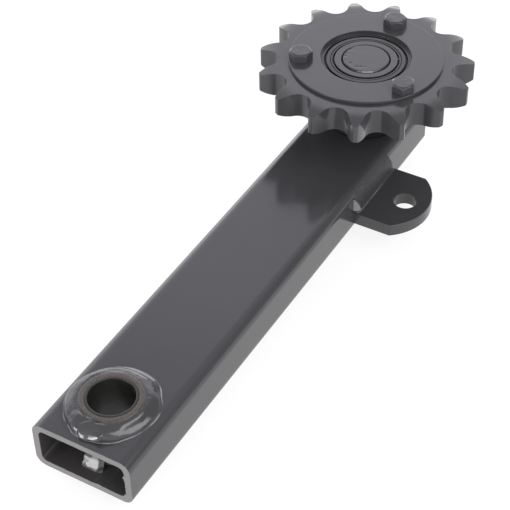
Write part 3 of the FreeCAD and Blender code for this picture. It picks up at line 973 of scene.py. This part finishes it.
def tooth_outline(bm, wheel):
    """Half a tooth space, from the middle of a roller seat to the middle of a tooth's tip."""
    half_step = math.pi / wheel.teeth
    pitch_r = wheel.pitch / (2 * math.sin(half_step))
    tip_r = pitch_r + wheel.tooth_head
    flank, reach = wheel.flank_radius, wheel.seat_radius + wheel.flank_radius
    centre = Vector((pitch_r - reach * math.cos(wheel.seat_angle), reach * math.sin(wheel.seat_angle), 0))
    seat = bm.verts.new((pitch_r - wheel.seat_radius, 0, 0))
    sweep(bm, [seat], -wheel.seat_angle, 14, (pitch_r, 0, 0))
    flank_start = max(bm.verts, key=lambda v: v.co.y)
    to_start = flank_start.co - centre
    away = centre.length
    to_tip = math.acos((away ** 2 + flank ** 2 - tip_r ** 2) / (2 * away * flank))
    turn = math.atan2(-centre.y, -centre.x) + to_tip - math.atan2(to_start.y, to_start.x)
    sweep(bm, [flank_start], (turn + math.pi) % math.tau - math.pi, 12, centre)
    tip = max(bm.verts, key=lambda v: v.co.length)
    sweep(bm, [tip], half_step - math.atan2(tip.co.y, tip.co.x), 3)
    return tip_r


def make_sprocket(wheel):
    """One half space is rowed in to the bearing seat, mirrored, and spun round the axle."""
    bm = bmesh.new()
    tip_r = tooth_outline(bm, wheel)
    half_step = math.pi / wheel.teeth
    relief, half, hub_r = wheel.tip_relief, (wheel_high.z - wheel_low.z) / 2, 47.0 * MM
    relief_start = tip_r - math.sqrt(relief ** 2 - (relief - wheel.tip_drop) ** 2)
    edges = list(bm.edges)
    source = {v: v.co.copy() for v in bm.verts}
    for share in (0.04, 0.1, 0.17, 0.25, 0.34, 0.44, 0.56, 0.7, 0.85, 1.0):
        verts, edges = extrude(bm, edges)
        fresh = {}
        for v in verts:
            start = source[min(source, key=lambda s: (s.co - v.co).length)]
            angle = math.atan2(start.y, start.x)
            r = start.length * (1 - share) + hub_r * share
            fresh[v] = start
            v.co = (r * math.cos(angle), r * math.sin(angle), 0)
        source = fresh
    for v in extrude(bm, edges)[0]:
        v.co *= wheel.bearing_radius / v.co.length
    for v in bm.verts:
        along = max(0.0, v.co.length - relief_start)
        v.co.z = half - (relief - math.sqrt(relief ** 2 - along ** 2))

    def on_side(e):
        angles = [math.atan2(v.co.y, v.co.x) for v in e.verts]
        return max(abs(a) for a in angles) < 1e-5 or min(angles) > half_step - 1e-5

    def tooth_edges():
        return [e for e in sharp_edges(bm, 0.7) if min(radius_of(v) for v in e.verts) > 50 * MM]

    for v in extrude(bm, [e for e in bm.edges if e.is_boundary and not on_side(e)])[0]:
        v.co.z = 0
    for axis in "ZY":
        bmesh.ops.mirror(bm, geom=everything(bm), matrix=Matrix.Identity(4), merge_dist=1e-7, axis=axis)
    sweep(bm, everything(bm), math.tau, wheel.teeth, use_duplicate=True)
    bmesh.ops.remove_doubles(bm, verts=bm.verts, dist=2e-6)
    bmesh.ops.rotate(bm, verts=bm.verts, cent=(0, 0, 0),
                     matrix=Matrix.Rotation(wheel.first_tooth + half_step, 3, "Z"))
    face_outward(bm)
    corners = [e for e in tooth_edges() if abs(e.verts[0].co.z - e.verts[1].co.z) > 2 * MM]
    soften(bm, corners, 1.35 * MM, 5)
    for face in soften(bm, tooth_edges(), 0.42 * MM):
        face.material_index = 1
    middle = axle_at + Vector((0, 0, (wheel_low.z + wheel_high.z) / 2))
    sprocket = finish_mesh(bm, "sprocket_machined", middle)
    drill(sprocket, bolt_places(wheel, hole_play), wheel_low.z, wheel_high.z, 48)
    return sprocket


def bolt_places(wheel, clearance=0.0):
    """Where the bolts stand, and the radius of a hole for them."""
    turns = [i * math.tau / wheel.bolts for i in range(wheel.bolts)]
    return [(axle_at.x + wheel.bolt_circle * math.cos(t), wheel.bolt_circle * math.sin(t),
             wheel.bolt_radius + clearance) for t in turns]


def make_disc(name, wheel, low, high):
    hole, edge = wheel.disc_hole, wheel.disc_radius
    bm = spin_outline([(hole, low), (edge, low), (edge, high), (hole, high)], 192)
    soften_rings(bm, 3, (low, high), (edge, 0.35 * MM), (hole, 0.25 * MM))
    disc = finish_mesh(bm, name, axle_at)
    drill(disc, bolt_places(wheel, hole_play), low, high, 48)
    return disc


def hexagon(wheel, low, high, ends):
    """A hexagonal prism whose corners are turned off by a flat cone at the chosen ends."""
    corner = wheel.hex_flat / math.cos(math.pi / 6)
    bm = bmesh.new()
    bmesh.ops.create_cone(bm, cap_ends=True, cap_tris=False, segments=6, radius1=corner, radius2=corner,
                          depth=high - low, matrix=Matrix.Translation((0, 0, (low + high) / 2))
                          @ Matrix.Rotation(math.pi / 2, 4, "Z"))
    steep, cuts = math.tan(math.radians(30)), 72
    for end, turn in ends:
        for i in range(cuts):
            angle = i * math.tau / cuts
            bmesh.ops.bisect_plane(bm, geom=everything(bm), plane_co=on_circle(angle, wheel.hex_face, end),
                                   plane_no=on_circle(angle, steep, turn).normalized(),
                                   clear_outer=True, clear_inner=False)
            close_holes(bm)
    bmesh.ops.remove_doubles(bm, verts=bm.verts, dist=1e-6)
    face_outward(bm)
    soften(bm, sharp_edges(bm, 0.35), 0.22 * MM, 2)
    return bm


def threaded_end(radius, pitch, low, high):
    """Thread crests as close rings on a bolt's end."""
    outline = [(0.0, low), (radius - MM, low), (radius, low + MM)]
    for i in range(int((high - low - MM) / pitch)):
        z = low + MM + i * pitch
        outline += [(radius, z + 0.15 * pitch), (radius - 0.55 * pitch, z + 0.55 * pitch),
                    (radius, z + 0.95 * pitch)]
    return spin_outline(outline + [(radius, high), (0.0, high)], 40)


def turned_places(wheel, degrees):
    """Where the bolts or the nuts stand, each turned its own way."""
    return [Matrix.Translation((x, y, 0)) @ Matrix.Rotation(math.radians(degrees[i % len(degrees)]), 4, "Z")
            for i, (x, y, _) in enumerate(bolt_places(wheel))]


def make_bolts(wheel):
    bm = bmesh.new()
    seat, top = disc_high.z, bolts_high.z
    for place in turned_places(wheel, (5.6, 54.9, 24.9)):
        merge_in(bm, hexagon(wheel, seat, top, [(top, 1)]), place)
        merge_in(bm, threaded_end(wheel.bolt_radius, 1.25 * MM, bolts_low.z, seat + 0.2 * MM), place)
    return finish_mesh(bm, "disc_bolts_hexagon")


def make_nuts(wheel):
    bm = bmesh.new()
    low, high = nuts_low.z, nuts_high.z
    for place in turned_places(wheel, (15, -9, 27)):
        merge_in(bm, hexagon(wheel, low, high, [(high, 1), (low, -1)]), place)
    nuts = finish_mesh(bm, "disc_nuts_hexagon")
    drill(nuts, bolt_places(wheel, -0.02 * MM), low, high, 40)
    return nuts


def make_outer_ring(wheel):
    top, low, ledge = ring_high.z, ring_low.z, seal_ledge
    outer, seat = wheel.bearing_radius, wheel.seal_seat
    shoulder = seat - 0.95 * MM
    bm = spin_outline([(shoulder, low + ledge), (seat, low + ledge), (seat, low), (outer, low), (outer, top),
                       (seat, top), (seat, top - ledge), (shoulder, top - ledge)], 128)
    soften_rings(bm, 3, (low, top), (outer, 0.9 * MM), (seat, 0.25 * MM))
    return finish_mesh(bm, "bearing_outer_ring_ground", axle_at)


def make_inner_ring(wheel):
    """The inner ring, turned down at both edges where the seals' lips run."""
    top, low, ledge = inner_high.z, inner_low.z, seal_ledge
    bore, shoulder = wheel.journal_radius, wheel.inner_shoulder
    run = shoulder - 0.75 * MM
    bm = spin_outline([(bore, low), (run, low), (run, low + ledge), (shoulder, low + ledge),
                       (shoulder, top - ledge), (run, top - ledge), (run, top), (bore, top)], 144)
    soften_rings(bm, 5, (low, top), (bore, 0.8 * MM), (run, 0.2 * MM))
    return finish_mesh(bm, "bearing_inner_ring_ground", axle_at)


def make_seal(name, wheel, turn):
    """A pressed seal: a flat rim at its seat, a groove, a stepped web and a thin lip."""
    middle = (ring_high.z + ring_low.z) / 2
    face = (ring_high.z - ring_low.z) / 2 - seal_inset
    under, floor, inner = face - 1.4 * MM, face - 1.15 * MM, face - 0.05 * MM
    lip, rim = wheel.inner_shoulder + 0.3 * MM, wheel.seal_seat
    groove = rim - 1.55 * MM
    web = groove - 1.4 * MM
    step = lip + 1.3 * MM
    bm = spin_outline([(lip, under), (rim, under), (rim, face), (groove, face), (groove, floor), (web, floor),
                       (web, face), (step + 0.3 * MM, face), (step + 0.15 * MM, face - 0.45 * MM),
                       (step - 0.15 * MM, face - 0.45 * MM), (step - 0.3 * MM, inner), (lip, inner)], 144)
    soften_rings(bm, 3, (face,), (rim, 0.2 * MM), (groove, 0.2 * MM), (web, 0.2 * MM))
    soften_rings(bm, 3, (inner,), (lip, 0.2 * MM))
    if turn < 0:
        bmesh.ops.scale(bm, vec=(1, 1, -1), verts=bm.verts)
        face_outward(bm)
    return finish_mesh(bm, name, axle_at + Vector((0, 0, middle)))


# Operators, one for each piece or group of like pieces


class MakeArmTube(bpy.types.Operator):
    """Build the rectangular arm tube with its rounded corners and saw-cut ends"""
    bl_idname = "tensioner.arm_tube"
    bl_label = "Arm tube"

    def execute(self, context):
        # Height of the inside weld bead and of the painted highlight along it.
        seam_and_glint_height = -9.5 * MM
        dress(make_arm_tube(chosen("arm")), "arm", "arm_tube", "paint", paint(), cut_end_material(),
              inside_material(seam_and_glint_height))
        return {"FINISHED"}


class MakePivot(bpy.types.Operator):
    """Build the pivot boss and its bush"""
    bl_idname = "tensioner.pivot"
    bl_label = "Pivot boss and bush"

    def execute(self, context):
        sizes = chosen("arm")
        dress(make_pivot_boss(sizes), "arm", "pivot_boss", "paint",
              boss_material("boss_enamel", sizes.boss_radius + 0.2 * MM))
        dress(make_pivot_bush(sizes), "arm", "pivot_bush", "bush", oiled_material())
        return {"FINISHED"}


class MakeBossWelds(bpy.types.Operator):
    """Lay the beads round the pivot boss, above, below and inside the open end"""
    bl_idname = "tensioner.boss_welds"
    bl_label = "Boss welds"

    def execute(self, context):
        sizes = chosen("arm")
        top, bottom = make_boss_welds(sizes)
        dress(top, "arm", "boss_weld_top", "paint",
              boss_material("weld_enamel", sizes.boss_radius + 0.4 * MM))
        dress(bottom, "arm", "boss_weld_bottom", "paint", paint())
        dress(make_mouth_weld(sizes), "arm", "boss_weld_mouth", "paint", lit_mouth_material(*mouth_face))
        return {"FINISHED"}


class MakeLug(bpy.types.Operator):
    """Build the drilled spring lug and the beads that hold it"""
    bl_idname = "tensioner.lug"
    bl_label = "Spring lug and welds"

    def execute(self, context):
        sizes = chosen("arm")
        dress(make_spring_lug(sizes), "arm", "spring_lug", "paint", paint())
        above, below = make_lug_welds(sizes)
        dress(above, "arm", "lug_weld_top", "paint", bead_material(lug_high.z),
              moulded_material("chipped_enamel", chosen("finish").wear_and_glint, 0.35, 1.7))
        dress(below, "arm", "lug_weld_bottom", "paint", paint())
        return {"FINISHED"}


class MakeAxle(bpy.types.Operator):
    """Build the sprocket's axle stub and its welds"""
    bl_idname = "tensioner.axle"
    bl_label = "Axle and welds"

    def execute(self, context):
        sizes, wheel = chosen("arm"), chosen("wheel")
        journal = wheel.journal_radius
        # Painted shade in the gap round the journal, and a painted highlight on the axle's near top edge.
        gap = (journal - 0.75 * MM, journal + 0.2 * MM, axle_high.z - 0.7 * MM)
        dress(make_sprocket_axle(wheel), "arm", "sprocket_axle", "paint",
              bearing_material("axle_enamel", [gap], glint_radius=journal - 0.8 * MM))
        # The bead under the sprocket takes the enamel at 0.22 of its tone with little specular: painted shade
        # under the sprocket.
        dress(make_axle_weld("axle_weld_top_bead", sizes.axle_weld, 14, tube_high.z, 1, 21.0, 0.9 * MM),
              "arm", "axle_weld_top", "paint",
              moulded_material("shaded_weld_enamel", chosen("finish").paint, 0.7, 0.22, 0.1))
        dress(make_axle_weld("axle_weld_bottom_bead", sizes.axle_foot_weld, 12, tube_low.z, -1, 31.0,
                             0.6 * MM), "arm", "axle_weld_bottom", "paint", paint())
        return {"FINISHED"}


class MakeSprocket(bpy.types.Operator):
    """Build the toothed sprocket with its relieved tips"""
    bl_idname = "tensioner.sprocket"
    bl_label = "Sprocket"

    def execute(self, context):
        dress(make_sprocket(chosen("wheel")), "sprocket_wheel", "sprocket", "paint", paint(),
              worn_and_glint_material())
        return {"FINISHED"}


class MakeDiscs(bpy.types.Operator):
    """Build the two discs that hold the bearing in the sprocket"""
    bl_idname = "tensioner.discs"
    bl_label = "Retaining discs"

    def execute(self, context):
        wheel = chosen("wheel")
        lower_low, lower_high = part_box("lower_disc")
        dress(make_disc("upper_disc_plate", wheel, disc_low.z, disc_high.z), "sprocket_wheel",
              "upper_disc", "paint", paint())
        dress(make_disc("lower_disc_plate", wheel, lower_low.z, lower_high.z), "sprocket_wheel",
              "lower_disc", "paint", paint())
        return {"FINISHED"}


class MakeFasteners(bpy.types.Operator):
    """Build the hexagon bolts and nuts through the discs"""
    bl_idname = "tensioner.fasteners"
    bl_label = "Bolts and nuts"

    def execute(self, context):
        wheel = chosen("wheel")
        coat = fastener_material()
        dress(make_bolts(wheel), "sprocket_wheel", "disc_bolts", "fasteners", coat)
        dress(make_nuts(wheel), "sprocket_wheel", "disc_nuts", "fasteners", coat)
        return {"FINISHED"}


class MakeBearing(bpy.types.Operator):
    """Build the sealed ball bearing's rings and seals, and finish its balls and cage"""
    bl_idname = "tensioner.bearing"
    bl_label = "Bearing"

    def execute(self, context):
        wheel, finish = chosen("wheel"), chosen("finish")
        journal, shoulder, seat = wheel.journal_radius, wheel.inner_shoulder, wheel.seal_seat
        seal_top, run, step = ring_high.z - seal_inset, shoulder - 0.85 * MM, shoulder + 1.6 * MM
        # Painted shade, near black, in the seals' grooves and in the gaps between the rings.
        rubber = bearing_material("painted_seal", [
            (run, shoulder + 0.4 * MM, seal_top - 0.5 * MM),
            (seat - 3.0 * MM, seat - 1.5 * MM, seal_top - 0.5 * MM),
            (step - 0.12 * MM, step + 0.1 * MM, seal_top - 0.1 * MM)], 0.75)
        rings = bearing_material("ring_enamel", [
            (journal - MM, journal + 0.55 * MM, inner_high.z - 0.45 * MM),
            (run, shoulder + 2 * MM, inner_high.z - 0.5 * MM)])
        dress(make_outer_ring(wheel), "sprocket_wheel", "bearing_outer_ring", "bearing_steel", paint())
        dress(make_inner_ring(wheel), "arm", "bearing_inner_ring", "bearing_steel", rings)
        dress(make_seal("upper_seal_pressed", wheel, 1), "sprocket_wheel", "upper_seal", "seal", rubber)
        dress(make_seal("lower_seal_pressed", wheel, -1), "sprocket_wheel", "lower_seal", "seal", rubber)
        inside = {"bearing_balls": steel_material("ball_steel_polished", finish.ball_steel, 0.08),
                  "bearing_cage": moulded_material("cage_moulded", finish.cage, 0.45)}
        for node, material in inside.items():
            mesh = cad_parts[node].data
            mesh.materials.clear()
            mesh.materials.append(material)
        return {"FINISHED"}


class MakeStage(bpy.types.Operator):
    """Set up the pale floor, the soft studio light and the camera"""
    bl_idname = "tensioner.stage"
    bl_label = "Stage"

    def execute(self, context):
        studio = chosen("studio")
        make_floor(studio)
        make_sky(studio)
        soft_light("low_front_light", studio.key, 0.75, 0.30, direction(154, 5) * 1.25)
        soft_light("side_softbox", studio.side, 1.15, 0.5, direction(-88, 42) * 1.3)
        make_camera(studio)
        context.scene.view_settings.view_transform = "Standard"
        return {"FINISHED"}


# Stage


def make_floor(studio):
    """A pale floor that is seen from above only, so that the underside can be looked at."""
    bm = bmesh.new()
    bmesh.ops.create_grid(bm, x_segments=1, y_segments=1, size=4.0,
                          matrix=Matrix.Translation((0.14, 0, cad_box[0].z - 0.2 * MM)))
    floor = finish_mesh(bm, "floor")
    surface = Surface("pale_floor")
    mottle = surface.noise(6.0)
    surface.shade(surface.tones(mottle, studio.floor, 0.98, 1.0), mottle.span(0.0, 1.0, 0.75, 0.8))
    surface.shader.inputs["Emission Color"].default_value = (1.0, 1.0, 1.0, 1.0)
    surface.shader.inputs["Emission Strength"].default_value = studio.floor_glow
    below = surface.add("NewGeometry", "Backfacing")
    surface.feed(surface.out, surface.add("MixShader", "Shader", {
        0: below, 1: Value(surface, surface.shader.outputs["BSDF"]),
        2: surface.add("BsdfTransparent", "BSDF")}))
    floor.data.materials.append(surface.material)


def make_sky(studio):
    """An even studio with a bright backdrop behind the part that ends half way up."""
    world = bpy.data.worlds.new("studio_sky")
    bpy.context.scene.world = world
    sky = Nodes(world)
    x, y, up = sky.parts(sky.add("TexCoord", "Generated"))
    ahead, beside = toward(x, y, 31), toward(x, y, -38)

    def patch(strength, up_range, way, low, high, at_low=0.0, at_high=1.0):
        """A soft patch of light: it fades out upwards, and between low and high of a direction."""
        smooth = {"interpolation_type": "SMOOTHSTEP"}
        return up.span(*up_range, 1.0, 0.0, **smooth) * way.span(low, high, at_low, at_high, **smooth) \
            * strength

    backdrop = patch(studio.backdrop, (0.50, 0.86), ahead, 0.40, 0.62)
    rim = patch(studio.rim, (0.10, 0.26), ahead, 0.86, 0.97)
    front = patch(studio.front, (0.35, 0.70), ahead, -0.75, -0.25, 1.0, 0.0)
    gap = patch(studio.gap, (0.60, 0.80), beside, 0.55, 0.82)
    glow = backdrop + rim + (front + studio.ambient) - gap
    light = sky.add("Background", "Background", {"Color": (1.01, 1.0, 1.08, 1.0), "Strength": glow})
    sky.feed(sky.tree.nodes.new("ShaderNodeOutputWorld").inputs["Surface"], light)


def soft_light(name, radiance, width, height, away):
    """An area light that faces the pivot from a distance. Its power follows from its brightness."""
    light = bpy.data.lights.new(name, "AREA")
    light.shape, light.size, light.size_y = "RECTANGLE", width, height
    light.energy = radiance * math.pi * width * height
    lamp = bpy.data.objects.new(name, light)
    lamp.location = away
    lamp.rotation_mode = "QUATERNION"
    lamp.rotation_quaternion = (-away).to_track_quat("-Z", "Y")
    bpy.context.scene.collection.objects.link(lamp)


def direction(azimuth, elevation):
    turn, lift = math.radians(azimuth), math.radians(elevation)
    return Vector((math.cos(turn) * math.cos(lift), math.sin(turn) * math.cos(lift), math.sin(lift)))


def make_camera(studio):
    """The photograph's viewpoint, worked out from the sprocket, the tube and the pivot."""
    place, roll = (-0.397985, -0.327540, 0.576814), math.radians(-1.472)
    ahead = direction(31.123, -42.086)
    right = ahead.cross(Vector(upright)).normalized()
    up = right.cross(ahead)
    across = math.cos(roll) * right + math.sin(roll) * up
    level = -math.sin(roll) * right + math.cos(roll) * up
    data = bpy.data.cameras.new("view")
    data.lens, data.sensor_width, data.clip_start, data.clip_end = studio.lens, 36.0, 0.01, 20.0
    camera = bpy.data.objects.new("view", data)
    camera.matrix_world = Matrix.Translation(place) @ Matrix((across, level, -ahead)).transposed().to_4x4()
    bpy.context.scene.collection.objects.link(camera)
    bpy.context.scene.camera = camera


class TensionerPanel(bpy.types.Panel):
    """Sizes, finishes and build steps of the tensioner"""
    bl_idname = "VIEW3D_PT_tensioner"
    bl_label = "Chain tensioner"
    bl_space_type = "VIEW_3D"
    bl_region_type = "UI"
    bl_category = "Tensioner"

    def draw(self, context):
        layout = self.layout
        for owner in groups:
            box = layout.box()
            group = getattr(context.scene, owner)
            for name in group.__annotations__:
                box.prop(group, name)
        for step in steps:
            layout.operator(step.bl_idname)


steps = (MakeArmTube, MakePivot, MakeBossWelds, MakeLug, MakeAxle, MakeSprocket, MakeDiscs, MakeFasteners,
         MakeBearing, MakeStage)
groups = {"tensioner_arm": ArmSizes, "tensioner_wheel": WheelSizes, "tensioner_finish": Finish,
          "tensioner_studio": Studio}
classes = tuple(groups.values()) + steps + (TensionerPanel,)


def register():
    for cls in classes:
        bpy.utils.register_class(cls)
    for name, cls in groups.items():
        setattr(bpy.types.Scene, name, PointerProperty(type=cls))


def unregister():
    for name in groups:
        delattr(bpy.types.Scene, name)
    for cls in reversed(classes):
        bpy.utils.unregister_class(cls)


def main():
    register()
    bpy.ops.tensioner.arm_tube()
    bpy.ops.tensioner.pivot()
    bpy.ops.tensioner.boss_welds()
    bpy.ops.tensioner.lug()
    bpy.ops.tensioner.axle()
    bpy.ops.tensioner.sprocket()
    bpy.ops.tensioner.discs()
    bpy.ops.tensioner.fasteners()
    bpy.ops.tensioner.bearing()
    bpy.ops.tensioner.stage()


if __name__ == "__main__":
    main()
